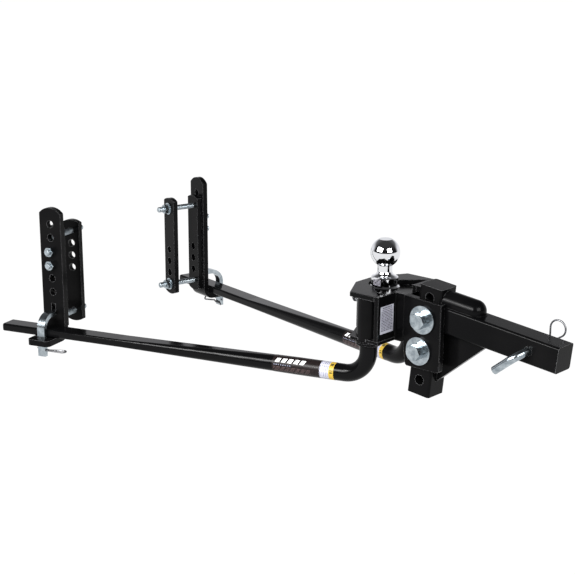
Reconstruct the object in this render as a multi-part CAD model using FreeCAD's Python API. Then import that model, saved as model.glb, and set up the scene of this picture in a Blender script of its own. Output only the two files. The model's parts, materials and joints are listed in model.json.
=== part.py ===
"""Weight distribution hitch: adjustable shank, ball head, two spring bars and two frame brackets.

Frame: +Z up, +X along the shank towards the tow vehicle, +Y to the vehicle's left.
The origin is the centre of the hitch ball, where the trailer's coupler sits.
The head, spring bars and brackets stand upright; the shank is pitched nose down
by the head tilt.  Left and right hardware are mirror images in the XZ plane.
All sizes are in millimetres.
"""
import FreeCAD, Part
import math
import os

V = FreeCAD.Vector

# ---- hitch ball -------------------------------------------------------------------------------
BALL_D = 58.74            # 2-5/16 in ball
BALL_TOP_FLAT_R = 13.0
NECK_R = 15.0
FLANGE_R = 26.5
FLANGE_FLAT = 24.0        # centre to each wrench flat
BALL_FOOT_R = 30.0
BALL_STUD_R = 15.875      # 1-1/4 in threaded stud
BALL_HEIGHT = 72.0        # ball centre above the platform it stands on

# ---- head weldment ----------------------------------------------------------------------------
YOKE_T = 9.5
HEAD_TOP = -BALL_HEIGHT + YOKE_T
YOKE_FRONT_X = 56.0
YOKE_SIDE_X = -12.0
YOKE_REAR_X = -48.0
YOKE_HALF = 93.0
YOKE_REAR_HALF = 30.0
NOTCH_HALF = 90.0         # half width of the V notch at the front edge
PLATFORM_T = 16.0
PLATFORM_REAR_X = -40.0
PLATFORM_FRONT_X = 63.0
PLATFORM_HALF = 43.0
REAR_HALF = 34.0          # half width of the rear wall
WALL_T = 9.5
FLOOR_T = 6.5
FLOOR_Z = -158.0          # underside of the head floor
WEB_IN = 28.0
WEB_OUT = 37.2
CHEEK_REAR_X = 77.0
CHEEK_FRONT_X = 163.0
CHEEK_IN = 26.0
CHEEK_T = 12.7
CHEEK_DEPTH = 140.0
CHEEK_FRONT_DROP = 6.0    # the cheek's top edge falls this much towards its front
CHEEK_FOOT_IN = 6.0       # and its low rear corner is cut back this much
SLOT_TRAVEL = 5.4         # the lower head bolt's room each way in the tilt slot
SOCKET_X = 17.0
SOCKET_Y = 67.6
SOCKET_OD = 48.26
SOCKET_FIT = 0.10         # radial running fit of the bar in its socket
SOCKET_LOW_Z = -160.0
COLLAR_R = 25.5
COLLAR_H = 7.0

# ---- shank ------------------------------------------------------------------------------------
TUBE = 50.8               # 2 in square bar and column
SHANK_PITCH = 6.0         # degrees nose down, the set head tilt
BAR_CORNER = 5.0          # rounded long edges of the shank and column
COLUMN_REAR_X = 97.0
COLUMN_LENGTH = 220.0
PIVOT_Z = -103.7          # upper head bolt
COLUMN_TOP = 62.7         # above the upper head bolt, along the column
HOLE_PITCH = 31.75
TOP_HOLE = 41.0           # height of the highest column hole above the upper head bolt
HEAD_BOLT_R = 9.525       # 3/4 in bolts
SHANK_TOP = 32.0          # above the upper head bolt
SHANK_LENGTH = 262.0
GUSSET_ALONG = 105.0
GUSSET_DOWN = 108.0
GUSSET_T = 12.7
RIB_LENGTH = 84.0
RIB_R = 21.5
RIB_WALL = 5.0
PIN_R = 7.94              # 5/8 in hitch pin
PIN_FROM_END = 62.0
CLIP_TURN = 38.6          # degrees from the shank's length to the pin clip's leg

# ---- spring bars ------------------------------------------------------------------------------
BAR_R = 17.4625           # 1-3/8 in round bar
BAR_SPLAY = 14.25         # degrees outwards from straight back
BAR_DROOP = 1.3           # degrees below level, towards the tail
BEND_R = 50.0
BAR_Z = -233.2            # bar centre where the level arm would meet the socket axis
LEG_TOP_Z = -74.0
GROOVE_Z = -84.0
GROOVE_HALF = 4.5
GROOVE_R = 12.5
ROUND_END = 150.0         # the bar is round up to here
FLAT_START = 560.0        # and flat from here to its tail
BAR_LENGTH = 852.0
FLAT_W = 40.0
FLAT_H = 16.5
FLAT_CORNER = 4.0
ROUND_FLAT = 0.03         # sliver of flat that gives the round section four sides to forge from

# ---- frame brackets ---------------------------------------------------------------------------
BRACKET_AT = 743.0        # from the socket axis, along the bar
PLATE_W = 54.0
PLATE_T = 12.7
PLATE_FACE = -21.0        # outboard face of the hanger plate, from the bar's centre line
PLATE_TOP_Z = 15.0
PLATE_SHOULDER_Z = 2.5
FOOT_TOP_Z = -258.9
FOOT_OUT = 45.0
HANGER_BEND_R = 24.0      # outer radius of the turn into the foot
LINK_W = 42.0
LINK_T = 12.0
LINK_TOP_Z = -25.5
LINK_LOW_Z = -251.5
LINK_ARCH = 6.0
LINK_BLIND = 2.0          # metal left behind the link studs
STUD_R = 6.35             # 1/2 in studs
STUD_TOP_Z = -50.1
STUD_SPACING = 177.8
HANGER_HOLE_Z = -20.5     # first of six holes down the hanger plate
HANGER_PITCH = 29.5
HANGER_HOLE_R = 7.9
LINK_STUD_HOLES = (2, 3)  # hanger holes, counted from 0 at the top, that the link studs use
SPARE_PITCH = 27.0        # spare holes of the link and clamp plates
SPARE_HOLE_R = 8.0
CLAMP_IN = -98.0          # outboard face of the clamp plate
STUD_END = -138.0
STRAP_W = 18.0
STRAP_T = 9.0
STRAP_AT = 26.0           # centre of the strap pin's leg, outboard of the bar's centre line
STRAP_LOW_Z = -298.0
STRAP_TOP_Z = -213.0
TONGUE_W = 9.0
TONGUE_SLOT_H = 24.0      # room for the tongue to lift in the hanger plate
CLIP_Z = -285.0
CLIP_HANG = 40.0          # degrees that the left strap clip hangs down about its leg

EASE = 0.9                # chamfer on the plates' edges

# ---- fasteners --------------------------------------------------------------------------------
NUT_AF = 19.05            # across flats of the 1/2 in nuts
NUT_H = 11.0
CLAMP_WASHER_R = 13.5
CLAMP_WASHER_T = 2.5
HEAD_BOLT_AF = 28.6       # across flats of the 3/4 in bolts and nuts
HEAD_BOLT_HEAD_H = 12.7
HEAD_NUT_H = 16.3
HEAD_BOLT_SPARE = 6.0     # thread showing past the nut
HEAD_WASHER_R = 27.5
HEAD_WASHER_T = 4.5
LOCK_WASHER_R = 15.2
LOCK_WASHER_T = 4.8
BALL_NUT_AF = 47.6
BALL_NUT_H = 27.0
BALL_WASHER_R = 24.5
BALL_WASHER_T = 6.0


# ---- helpers ----------------------------------------------------------------------------------
def box(x0, x1, y0, y1, z0, z1):
    return Part.makeBox(x1 - x0, y1 - y0, z1 - z0, V(x0, y0, z0))


def rod(start, end, radius):
    """Round rod between two points."""
    along = V(*end) - V(*start)
    return Part.makeCylinder(radius, along.Length, V(*start), along)


def prism(points, z0, z1):
    """Upright prism on a plan outline."""
    ring = [V(x, y, z0) for x, y in points]
    face = Part.Face(Part.makePolygon(ring + ring[:1]))
    return face.extrude(V(0, 0, z1 - z0))


def eased(body, axis, low=-1e6):
    """Chamfer the outline edges of a plate whose thickness lies along one axis (0, 1 or 2)."""
    edges = []
    for edge in body.Edges:
        extent = edge.BoundBox
        if (extent.XLength, extent.YLength, extent.ZLength)[axis] > 0.01:
            continue
        if (extent.XMin, extent.YMin, extent.ZMin)[axis] > low:
            edges.append(edge)
    return body.makeChamfer(EASE, edges)


def hexagon(centre, axis, across_flats, height, bore=0.0, chamfer=1.2):
    """Hexagonal head or nut from a point along an axis, with its outer corners turned off."""
    corner = across_flats / math.sqrt(3.0)
    ring = [V(corner * math.cos(math.radians(60 * k)), corner * math.sin(math.radians(60 * k)), 0)
            for k in range(7)]
    body = Part.Face(Part.makePolygon(ring)).extrude(V(0, 0, height))
    rim = across_flats / 2.0 + 0.3
    full = Part.makeCylinder(rim + chamfer, height - chamfer)
    cap = Part.makeCone(rim + chamfer, rim, chamfer, V(0, 0, height - chamfer))
    body = body.common(full.fuse(cap))
    if bore:
        body = body.cut(Part.makeCylinder(bore, height * 3, V(0, 0, -height)))
    body.Placement = FreeCAD.Placement(V(*centre), FreeCAD.Rotation(V(0, 0, 1), V(*axis)))
    return body


def washer(centre, axis, outer, inner, height):
    ring = Part.makeCylinder(outer, height, V(*centre), V(*axis))
    return ring.cut(Part.makeCylinder(inner, height * 3, V(*centre) - V(*axis) * height, V(*axis)))


def bent_path(points, bend):
    """Straight runs joined by tangent arcs of one radius."""
    points = [V(*p) for p in points]
    edges = []
    start = points[0]
    for before, corner, after in zip(points, points[1:], points[2:]):
        into = (corner - before).normalize()
        out = (after - corner).normalize()
        turn = into.getAngle(out)
        setback = bend * math.tan(turn / 2.0)
        a = corner - into * setback
        b = corner + out * setback
        inward = (out - into).normalize()
        mid = corner + inward * (setback / math.sin(turn / 2.0) - bend)
        if (a - start).Length > 1e-6:
            edges.append(Part.LineSegment(start, a).toShape())
        edges.append(Part.Arc(a, mid, b).toShape())
        start = b
    edges.append(Part.LineSegment(start, points[-1]).toShape())
    return Part.Wire(edges)


def bent_rod(points, radius, bend):
    """Round wire or rod along a bent path."""
    path = bent_path(points, bend)
    start = V(*points[0])
    along = V(*points[1]) - start
    profile = Part.Wire(Part.makeCircle(radius, start, along))
    return path.makePipeShell([profile], True, False)


def r_clip(wire_r, pin_half_x, pin_half_y, reach, loop_r, tail):
    """Hairpin clip in the XY plane: its leg lies on the X axis and its arm bows round a pin."""
    over = pin_half_y + wire_r + 1.6
    knee = V(pin_half_x + 5.0, over - 3.0, 0)
    centre = V(reach, loop_r, 0)
    back = knee - centre
    turn = math.atan2(back.y, back.x) % (2 * math.pi) - math.acos(loop_r / back.Length)
    leave = centre + V(math.cos(turn), math.sin(turn), 0) * loop_r
    leg = Part.LineSegment(V(-tail, 0, 0), V(reach, 0, 0))
    loop = Part.Arc(V(reach, 0, 0), centre + V(loop_r, 0, 0), leave)
    arm = Part.LineSegment(leave, knee)
    path = Part.Wire([piece.toShape() for piece in (leg, loop, arm)])
    profile = Part.Wire(Part.makeCircle(wire_r, V(-tail, 0, 0), V(1, 0, 0)))
    runs = path.makePipeShell([profile], True, False)
    bow_path = [tuple(knee), (pin_half_x * 0.45, over, 0), (-pin_half_x * 0.45, over, 0),
                (-pin_half_x - 4.0, over - 1.0, 0), (-pin_half_x - 11.0, over + 3.0, 0)]
    bow = bent_rod(bow_path, wire_r, 2.6)
    return runs.fuse([bow, Part.makeSphere(wire_r, knee)])


def shank_frame(shape):
    """Turn a shape from the level shank frame to its pitch about the upper head bolt."""
    turned = shape.copy()
    turned.rotate(V(PIVOT_X, 0, PIVOT_Z), V(0, 1, 0), SHANK_PITCH)
    return turned


def bar_frame(shape):
    """Turn a left-hand shape from straight back to the bar's splay about its socket."""
    placed = shape.copy()
    placed.translate(V(SOCKET_X, SOCKET_Y, 0))
    placed.rotate(V(SOCKET_X, SOCKET_Y, 0), V(0, 0, 1), -BAR_SPLAY)
    return placed


def bracket_frame(shape):
    """Tip a left-hand bracket piece square to the drooping bar, then turn it to the bar's splay."""
    tipped = shape.copy()
    tipped.rotate(V(-BRACKET_AT, 0, FOOT_TOP_Z), V(0, 1, 0), -BAR_DROOP)
    return bar_frame(tipped)


def mirrored(shape):
    return shape.mirror(V(0, 0, 0), V(0, 1, 0))


def save(name, *shapes):
    """Write one node; several pieces become a group of separate solids."""
    solids = [solid for shape in shapes for solid in shape.Solids]
    part = solids[0] if len(solids) == 1 else Part.makeCompound(solids)
    for solid in solids:
        if not solid.isValid():
            raise RuntimeError(name + " is not valid")
    part.exportStep("parts/" + name + ".step")


def save_pair(name, *left_shapes):
    """Write the left-hand node and its mirror image."""
    save(name + "_left", *left_shapes)
    save(name + "_right", *[mirrored(shape) for shape in left_shapes])


PIVOT_X = COLUMN_REAR_X + TUBE / 2.0
COLUMN_FRONT_X = COLUMN_REAR_X + TUBE
CHEEK_OUT = CHEEK_IN + CHEEK_T
LOWER_BOLT_Z = PIVOT_Z - 2 * HOLE_PITCH
WASHER_GAP = 0.15
CLIP_Y = 39.0             # the pin clip's plane, left of the shank


# ---- shank ------------------------------------------------------------------------------------
def column():
    half = TUBE / 2.0
    top = PIVOT_Z + COLUMN_TOP
    body = box(COLUMN_REAR_X, COLUMN_FRONT_X, -half, half, top - COLUMN_LENGTH, top)
    body = body.makeFillet(BAR_CORNER, [e for e in body.Edges if abs(e.tangentAt(e.FirstParameter).z) > 0.9])
    heights = [TOP_HOLE] + [-step * HOLE_PITCH for step in range(5)]
    for height in heights:
        z = PIVOT_Z + height
        body = body.cut(rod((PIVOT_X, -half - 1, z), (PIVOT_X, half + 1, z), HEAD_BOLT_R + 0.4))
    return body


def shank_bar():
    half = TUBE / 2.0
    top = PIVOT_Z + SHANK_TOP
    end = COLUMN_FRONT_X + SHANK_LENGTH
    body = box(COLUMN_FRONT_X, end, -half, half, top - TUBE, top)
    body = body.makeFillet(BAR_CORNER, [e for e in body.Edges if abs(e.tangentAt(e.FirstParameter).x) > 0.9])
    z = top - half
    return body.cut(rod((end - PIN_FROM_END, -half - 1, z), (end - PIN_FROM_END, half + 1, z), PIN_R + 0.8))


def gusset():
    top = PIVOT_Z + SHANK_TOP - TUBE
    x = COLUMN_FRONT_X
    ring = [V(x, -GUSSET_T / 2, top), V(x + GUSSET_ALONG, -GUSSET_T / 2, top),
            V(x, -GUSSET_T / 2, top - GUSSET_DOWN)]
    return Part.Face(Part.makePolygon(ring + ring[:1])).extrude(V(0, GUSSET_T, 0))


def top_rib():
    """Round-topped stiffener on the shank, with a domed nose."""
    z = PIVOT_Z + SHANK_TOP
    x0 = COLUMN_FRONT_X
    x1 = x0 + RIB_LENGTH - RIB_R
    crown = z + RIB_WALL
    arch = rod((x0, 0, crown), (x1, 0, crown), RIB_R).fuse(Part.makeSphere(RIB_R, V(x1, 0, crown)))
    arch = arch.common(box(x0, x1 + RIB_R, -RIB_R, RIB_R, crown, crown + RIB_R))
    wall = box(x0, x1, -RIB_R, RIB_R, z, crown).fuse(rod((x1, 0, z), (x1, 0, crown), RIB_R))
    return arch.fuse(wall).removeSplitter()


def head_fasteners():
    """Both head bolts with their washers and nuts; heads on the right-hand side."""
    bolts = []
    washers = []
    lock_washers = []
    nuts = []
    face = CHEEK_OUT + WASHER_GAP
    seat = face + HEAD_WASHER_T + LOCK_WASHER_T
    tip = seat + HEAD_NUT_H + HEAD_BOLT_SPARE
    for z in (PIVOT_Z, LOWER_BOLT_Z):
        shaft = rod((PIVOT_X, -seat, z), (PIVOT_X, tip, z), HEAD_BOLT_R)
        shaft = shaft.makeChamfer(1.5, [e for e in shaft.Edges if e.BoundBox.YMin > tip - 1])
        head = hexagon((PIVOT_X, -seat, z), (0, -1, 0), HEAD_BOLT_AF, HEAD_BOLT_HEAD_H)
        bolts.append(shaft.fuse(head))
        for side in (-1, 1):
            washers.append(washer((PIVOT_X, side * face, z), (0, side, 0),
                                  HEAD_WASHER_R, HEAD_BOLT_R + 0.5, HEAD_WASHER_T))
            ring = washer((PIVOT_X, side * (face + HEAD_WASHER_T), z), (0, side, 0),
                          LOCK_WASHER_R, HEAD_BOLT_R + 0.3, LOCK_WASHER_T)
            slit = box(PIVOT_X, PIVOT_X + 20, -80, 80, z - 1.2, z + 1.2)
            lock_washers.append(ring.cut(slit))
        nuts.append(hexagon((PIVOT_X, seat, z), (0, 1, 0), HEAD_BOLT_AF, HEAD_NUT_H, HEAD_BOLT_R))
    return bolts, washers, lock_washers, nuts


def hitch_pin():
    """Bent pin through the shank; its handle hangs back and down on the right."""
    x = COLUMN_FRONT_X + SHANK_LENGTH - PIN_FROM_END
    z = PIVOT_Z + SHANK_TOP - TUBE / 2.0
    handle_y = -56.0
    pin = bent_rod([(x, 52.0, z), (x, handle_y, z), (x - 45.0, handle_y, z - 45.0)], PIN_R, 28.0)
    pin = pin.makeChamfer(1.5, [e for e in pin.Edges if e.BoundBox.YMin > 51.0])
    across = 20 * math.cos(math.radians(CLIP_TURN))
    up = 20 * math.sin(math.radians(CLIP_TURN))
    return pin.cut(rod((x - across, CLIP_Y, z - up), (x + across, CLIP_Y, z + up), 2.2))


def hitch_pin_clip():
    """Hairpin clip through the pin's left end, its wide loop up and forwards."""
    clip = r_clip(1.8, PIN_R, PIN_R, 36.7, 16.0, 15.0)
    clip.rotate(V(0, 0, 0), V(1, 0, 0), 90)
    clip.rotate(V(0, 0, 0), V(0, 1, 0), -CLIP_TURN)
    x = COLUMN_FRONT_X + SHANK_LENGTH - PIN_FROM_END
    clip.translate(V(x, CLIP_Y, PIVOT_Z + SHANK_TOP - TUBE / 2.0))
    return clip


# ---- head -------------------------------------------------------------------------------------
def yoke_plate():
    outline = [(YOKE_FRONT_X, YOKE_HALF), (YOKE_SIDE_X, YOKE_HALF), (YOKE_REAR_X, YOKE_REAR_HALF),
               (YOKE_REAR_X, -YOKE_REAR_HALF), (YOKE_SIDE_X, -YOKE_HALF), (YOKE_FRONT_X, -YOKE_HALF)]
    plate = prism(outline, HEAD_TOP - YOKE_T, HEAD_TOP)
    apex = YOKE_FRONT_X - NOTCH_HALF
    reach = NOTCH_HALF + 20
    notch = prism([(apex, 0), (apex + reach, reach), (apex + reach, -reach)], HEAD_TOP - 30, HEAD_TOP + 30)
    wall = box(YOKE_FRONT_X - WALL_T, YOKE_FRONT_X, -YOKE_HALF, YOKE_HALF, HEAD_TOP - 30, HEAD_TOP + 1)
    round_seat = rod((0, 0, HEAD_TOP - 30), (0, 0, HEAD_TOP + 1), BALL_FOOT_R + 1.0)
    plate = plate.cut(notch).cut(round_seat).cut(wall)
    return eased(plate, 2, HEAD_TOP - 1)


def ball_platform():
    low = -BALL_HEIGHT - PLATFORM_T
    wide = box(PLATFORM_REAR_X, YOKE_FRONT_X - WALL_T, -PLATFORM_HALF, PLATFORM_HALF, low, -BALL_HEIGHT)
    tongue = box(YOKE_FRONT_X - WALL_T, PLATFORM_FRONT_X, -WEB_IN, WEB_IN, low, -BALL_HEIGHT)
    body = wide.fuse(tongue).removeSplitter()
    return body.cut(rod((0, 0, low - 1), (0, 0, -BALL_HEIGHT + 1), BALL_STUD_R + 0.4))


def head_floor():
    outline = [(YOKE_FRONT_X, YOKE_HALF - 3), (YOKE_SIDE_X, YOKE_HALF - 3), (PLATFORM_REAR_X, REAR_HALF),
               (PLATFORM_REAR_X, -REAR_HALF), (YOKE_SIDE_X, 3 - YOKE_HALF), (YOKE_FRONT_X, 3 - YOKE_HALF)]
    floor = prism(outline, FLOOR_Z, FLOOR_Z + FLOOR_T)
    for side in (-1, 1):
        y = side * SOCKET_Y
        floor = floor.cut(rod((SOCKET_X, y, FLOOR_Z - 1), (SOCKET_X, y, FLOOR_Z + 20), SOCKET_OD / 2))
    return floor


def rear_wall():
    top = -BALL_HEIGHT - PLATFORM_T
    return box(PLATFORM_REAR_X, PLATFORM_REAR_X + WALL_T, -REAR_HALF, REAR_HALF, FLOOR_Z + FLOOR_T, top)


def head_wall():
    """Front plate beside the ball, with the web that runs forward to the cheek."""
    low = FLOOR_Z + FLOOR_T
    front = eased(box(YOKE_FRONT_X - WALL_T, YOKE_FRONT_X, WEB_IN, YOKE_HALF - 1, low, HEAD_TOP), 0)
    web = box(YOKE_FRONT_X, CHEEK_REAR_X, WEB_IN, WEB_OUT, FLOOR_Z, HEAD_TOP)
    return front.fuse(web).removeSplitter()


def cheek():
    """Side plate with the round pivot hole above and the tilt slot below."""
    low = HEAD_TOP - CHEEK_DEPTH
    outline = [V(CHEEK_REAR_X, CHEEK_IN, HEAD_TOP), V(CHEEK_FRONT_X, CHEEK_IN, HEAD_TOP - CHEEK_FRONT_DROP),
               V(CHEEK_FRONT_X, CHEEK_IN, low), V(CHEEK_REAR_X + CHEEK_FOOT_IN, CHEEK_IN, low),
               V(CHEEK_REAR_X, CHEEK_IN, FLOOR_Z)]
    plate = Part.Face(Part.makePolygon(outline + outline[:1])).extrude(V(0, CHEEK_T, 0))
    plate = plate.makeFillet(6.0, [e for e in plate.Edges
                                   if e.BoundBox.ZMax < low + 1 and e.BoundBox.XLength < 1])
    plate = eased(plate, 1)
    plate = plate.cut(rod((PIVOT_X, 0, PIVOT_Z), (PIVOT_X, 60, PIVOT_Z), HEAD_BOLT_R + 0.08))
    wide = HEAD_BOLT_R + 0.7
    slot = box(PIVOT_X - SLOT_TRAVEL, PIVOT_X + SLOT_TRAVEL, 0, 60, LOWER_BOLT_Z - wide, LOWER_BOLT_Z + wide)
    for x in (PIVOT_X - SLOT_TRAVEL, PIVOT_X + SLOT_TRAVEL):
        slot = slot.fuse(rod((x, 0, LOWER_BOLT_Z), (x, 60, LOWER_BOLT_Z), wide))
    return plate.cut(shank_frame(slot))


def socket_tube():
    """Socket for the bar's upright leg, with its collar and the retaining pin's hole."""
    axis_low = (SOCKET_X, SOCKET_Y, SOCKET_LOW_Z)
    axis_top = (SOCKET_X, SOCKET_Y, HEAD_TOP - YOKE_T)
    tube = rod(axis_low, axis_top, SOCKET_OD / 2)
    collar = rod((SOCKET_X, SOCKET_Y, SOCKET_LOW_Z - COLLAR_H), axis_low, COLLAR_R)
    collar = collar.makeChamfer(1.2, [e for e in collar.Edges if e.BoundBox.ZLength < 0.01])
    tube = tube.fuse(collar)
    tube = tube.cut(rod((SOCKET_X, SOCKET_Y, SOCKET_LOW_Z - 20), axis_top, BAR_R + SOCKET_FIT))
    hole = rod((SOCKET_X - 40, SOCKET_Y, GROOVE_Z), (SOCKET_X, SOCKET_Y, GROOVE_Z), 4.1)
    return tube.cut(hole)


def bar_retainer():
    """Pull pin that enters the leg's groove from behind, with its wire ring."""
    tip = SOCKET_X - GROOVE_R - 1.0
    head_x = SOCKET_X - SOCKET_OD / 2 - 14.0
    pin = rod((head_x, SOCKET_Y, GROOVE_Z), (tip, SOCKET_Y, GROOVE_Z), 4.0)
    flange_x = SOCKET_X - SOCKET_OD / 2 - 3.0
    pin = pin.fuse(rod((flange_x, SOCKET_Y, GROOVE_Z), (flange_x + 2.6, SOCKET_Y, GROOVE_Z), 6.5))
    ring = Part.makeTorus(7.0, 1.5, V(head_x + 3.5, SOCKET_Y, GROOVE_Z + 4.0), V(1, 0, 0))
    ring.rotate(V(head_x + 3.5, SOCKET_Y, GROOVE_Z), V(0, 1, 0), -18)
    return pin.fuse(ring)


def hitch_ball():
    """Ball, necked stem, wrench flange and foot in one forging, with its stud below."""
    r = BALL_D / 2
    top = math.sqrt(r * r - BALL_TOP_FLAT_R ** 2)
    low = -math.sqrt(r * r - NECK_R ** 2)
    outline = [
        Part.LineSegment(V(0, 0, top), V(BALL_TOP_FLAT_R, 0, top)),
        Part.Arc(V(BALL_TOP_FLAT_R, 0, top), V(r, 0, 0), V(NECK_R, 0, low)),
        Part.LineSegment(V(NECK_R, 0, low), V(NECK_R, 0, -38)),
        Part.Arc(V(NECK_R, 0, -38), V(NECK_R + 3.2, 0, -44.0), V(FLANGE_R - 1.5, 0, -47.5)),
        Part.LineSegment(V(FLANGE_R - 1.5, 0, -47.5), V(FLANGE_R, 0, -49)),
        Part.LineSegment(V(FLANGE_R, 0, -49), V(FLANGE_R, 0, -64)),
        Part.LineSegment(V(FLANGE_R, 0, -64), V(BALL_FOOT_R, 0, -67)),
        Part.LineSegment(V(BALL_FOOT_R, 0, -67), V(BALL_FOOT_R, 0, -BALL_HEIGHT)),
        Part.LineSegment(V(BALL_FOOT_R, 0, -BALL_HEIGHT), V(BALL_STUD_R, 0, -BALL_HEIGHT)),
        Part.LineSegment(V(BALL_STUD_R, 0, -BALL_HEIGHT), V(BALL_STUD_R, 0, -128)),
        Part.LineSegment(V(BALL_STUD_R, 0, -128), V(BALL_STUD_R - 2, 0, -130)),
        Part.LineSegment(V(BALL_STUD_R - 2, 0, -130), V(0, 0, -130)),
        Part.LineSegment(V(0, 0, -130), V(0, 0, top)),
    ]
    face = Part.Face(Part.Wire([segment.toShape() for segment in outline]))
    ball = face.revolve(V(0, 0, 0), V(0, 0, 1), 360)
    for side in (-1, 1):
        flat = box(-40, 40, 0, 20, -65.5, -44)
        flat.translate(V(0, FLANGE_FLAT if side > 0 else -FLANGE_FLAT - 20, 0))
        ball = ball.cut(flat)
    return ball


def ball_nut_and_washer():
    seat = -BALL_HEIGHT - PLATFORM_T
    ring = washer((0, 0, seat), (0, 0, -1), BALL_WASHER_R, BALL_STUD_R + 0.3, BALL_WASHER_T)
    ring = ring.cut(box(0, BALL_WASHER_R + 1, -1.5, 1.5, seat - BALL_WASHER_T - 1, seat + 1))
    nut = hexagon((0, 0, seat - BALL_WASHER_T), (0, 0, -1), BALL_NUT_AF, BALL_NUT_H, BALL_STUD_R)
    return ring, nut


def rating_label():
    return box(YOKE_FRONT_X, YOKE_FRONT_X + 0.4, -84.0, -43.5, -137.5, -83.5)


# ---- spring bars ------------------------------------------------------------------------------
def bar_section(s, width, height, corner):
    """Rounded rectangle across the arm, at a distance s along it."""
    y = width / 2 - corner
    z = height / 2 - corner
    edges = []
    for cy, cz, turn in ((y, z, 0), (-y, z, 90), (-y, -z, 180), (y, -z, 270)):
        a = math.radians(turn)
        b = math.radians(turn + 90)
        first = V(-s, cy + corner * math.cos(a), cz + corner * math.sin(a))
        last = V(-s, cy + corner * math.cos(b), cz + corner * math.sin(b))
        m = math.radians(turn + 45)
        middle = V(-s, cy + corner * math.cos(m), cz + corner * math.sin(m))
        if edges:
            edges.append(Part.LineSegment(edges[-1].Vertexes[-1].Point, first).toShape())
        edges.append(Part.Arc(first, middle, last).toShape())
    edges.append(Part.LineSegment(edges[-1].Vertexes[-1].Point, edges[0].Vertexes[0].Point).toShape())
    return Part.Wire(edges)


def spring_bar():
    """Round bar bent under its socket, then forged flat towards the tail."""
    turn = math.radians(90 - BAR_DROOP)
    centre_z = BAR_Z + BEND_R
    leg = rod((0, 0, centre_z), (0, 0, LEG_TOP_Z), BAR_R)
    groove = washer((0, 0, GROOVE_Z - GROOVE_HALF), (0, 0, 1), BAR_R + 1, GROOVE_R, 2 * GROOVE_HALF)
    leg = leg.makeChamfer(1.5, [e for e in leg.Edges if e.BoundBox.ZMin > LEG_TOP_Z - 0.1]).cut(groove)
    ring = Part.Face(Part.Wire(Part.makeCircle(BAR_R, V(0, 0, centre_z), V(0, 0, 1))))
    bend = ring.revolve(V(-BEND_R, 0, centre_z), V(0, -1, 0), -math.degrees(turn))
    start = V(-BEND_R + BEND_R * math.cos(turn), 0, centre_z - BEND_R * math.sin(turn))
    round_part = rod((-BEND_R, 0, 0), (-ROUND_END, 0, 0), BAR_R)
    taper = Part.makeLoft([bar_section(ROUND_END, 2 * BAR_R, 2 * BAR_R, BAR_R - ROUND_FLAT),
                           bar_section(FLAT_START, FLAT_W, FLAT_H, FLAT_CORNER)], True, True)
    flat = Part.Face(bar_section(FLAT_START, FLAT_W, FLAT_H, FLAT_CORNER))
    flat = flat.extrude(V(FLAT_START - BAR_LENGTH, 0, 0))
    tail = [e for e in flat.Edges if e.BoundBox.XMax < 1 - BAR_LENGTH]
    flat = flat.makeChamfer(2.0, tail)
    arm = round_part.fuse([taper, flat])
    arm.translate(V(BEND_R, 0, 0))
    arm.rotate(V(0, 0, 0), V(0, 1, 0), -BAR_DROOP)
    arm.translate(start)
    return leg.fuse([bend, arm])


# ---- frame brackets, drawn straight behind the left socket: x = -s, y outboard ------------------
def cross_hole(z, y0, y1, radius):
    return rod((-BRACKET_AT, y0, z), (-BRACKET_AT, y1, z), radius)


def hanger_plate():
    """Tall plate with an arched top, turned outwards into the foot under the bar."""
    inner = PLATE_FACE - PLATE_T
    x = -BRACKET_AT
    half = PLATE_W / 2
    tall = box(x - half, x + half, inner, PLATE_FACE, FOOT_TOP_Z - PLATE_T, PLATE_TOP_Z)
    arch_edges = [
        Part.LineSegment(V(x - half, inner, FOOT_TOP_Z - 50), V(x - half, inner, PLATE_SHOULDER_Z)),
        Part.Arc(V(x - half, inner, PLATE_SHOULDER_Z), V(x, inner, PLATE_TOP_Z),
                 V(x + half, inner, PLATE_SHOULDER_Z)),
        Part.LineSegment(V(x + half, inner, PLATE_SHOULDER_Z), V(x + half, inner, FOOT_TOP_Z - 50)),
        Part.LineSegment(V(x + half, inner, FOOT_TOP_Z - 50), V(x - half, inner, FOOT_TOP_Z - 50)),
    ]
    arch = Part.Face(Part.Wire([edge.toShape() for edge in arch_edges])).extrude(V(0, PLATE_T, 0))
    foot = box(x - half, x + half, inner, FOOT_OUT, FOOT_TOP_Z - PLATE_T, FOOT_TOP_Z)
    foot = foot.makeFillet(10.0, [e for e in foot.Edges
                                  if e.BoundBox.YMin > FOOT_OUT - 1 and e.BoundBox.ZLength > 1])
    body = eased(tall.common(arch), 1).fuse(foot).removeSplitter()
    low = FOOT_TOP_Z - PLATE_T
    turn_y = inner + HANGER_BEND_R
    turn_z = low + HANGER_BEND_R
    corner = box(x - half - 1, x + half + 1, inner - 1, turn_y, low - 1, turn_z)
    corner = corner.cut(rod((x - half - 1, turn_y, turn_z), (x + half + 1, turn_y, turn_z), HANGER_BEND_R))
    body = body.cut(corner)
    for step in range(6):
        z = HANGER_HOLE_Z - step * HANGER_PITCH
        body = body.cut(cross_hole(z, inner - 1, PLATE_FACE + 1, HANGER_HOLE_R))
    gap = 0.5
    slot = box(x - STRAP_W / 2 - gap, x + STRAP_W / 2 + gap, STRAP_AT - STRAP_T / 2 - gap,
               STRAP_AT + STRAP_T / 2 + gap, FOOT_TOP_Z - 20, FOOT_TOP_Z + 5)
    rest = STRAP_TOP_Z - STRAP_T / 2 - 0.1
    window = box(x - TONGUE_W / 2 - gap, x + TONGUE_W / 2 + gap, inner - 1, PLATE_FACE + 1,
                 rest, rest + TONGUE_SLOT_H)
    return body.cut(slot).cut(window)


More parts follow.
